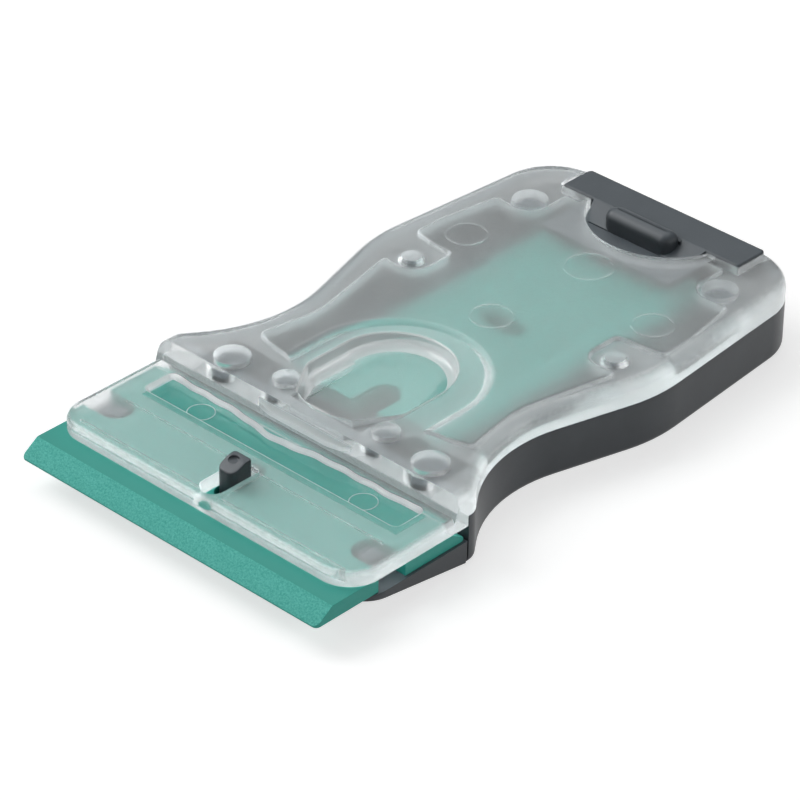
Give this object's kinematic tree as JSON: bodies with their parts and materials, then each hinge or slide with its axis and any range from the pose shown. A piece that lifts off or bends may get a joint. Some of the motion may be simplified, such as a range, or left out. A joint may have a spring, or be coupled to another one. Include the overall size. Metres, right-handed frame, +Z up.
{
  "type": "hob scraper",
  "caption": "Flat hand scraper: bevelled plastic blade between a frosted cover and a springing jaw released by a peg, with spare blades in a rear drawer",
  "frame": {"origin": "middle of the bounding box in plan, on the surface that the tool lies on", "axes": "+Y points to the rear end of the handle and the scraping edge faces -Y, +Z is up through the cover, +X is to the right seen from the blade end"},
  "size_m": [0.0608, 0.111, 0.0135],
  "materials": {
    "dark_plastic": "fine eroded mould texture, dark grey",
    "frosted_plastic": "clear plastic with a satin outside and polished inner edges",
    "blade_plastic": "smooth green plastic with a sanded bevel"
  },
  "bodies": {
    "handle": {"base_shell": "dark_plastic", "cover": "frosted_plastic", "working_blade": "blade_plastic"},
    "jaw": {"blade_jaw": "dark_plastic"},
    "drawer": {"magazine_drawer": "dark_plastic", "spare_blade_lower": "blade_plastic", "spare_blade_upper": "blade_plastic"}
  },
  "joints": [
    {"name": "jaw_release", "type": "hinge", "parent": "handle", "child": "jaw", "pos_m": [0, -0.0237, 0.0014], "axis": [1, 0, 0], "range_deg": [0, 8], "stiffness_Nm_per_rad": 1.2},
    {"name": "drawer_slide", "type": "slide", "parent": "handle", "child": "drawer", "axis": [0, 1, 0], "range_m": [0, 0.058]}
  ]
}
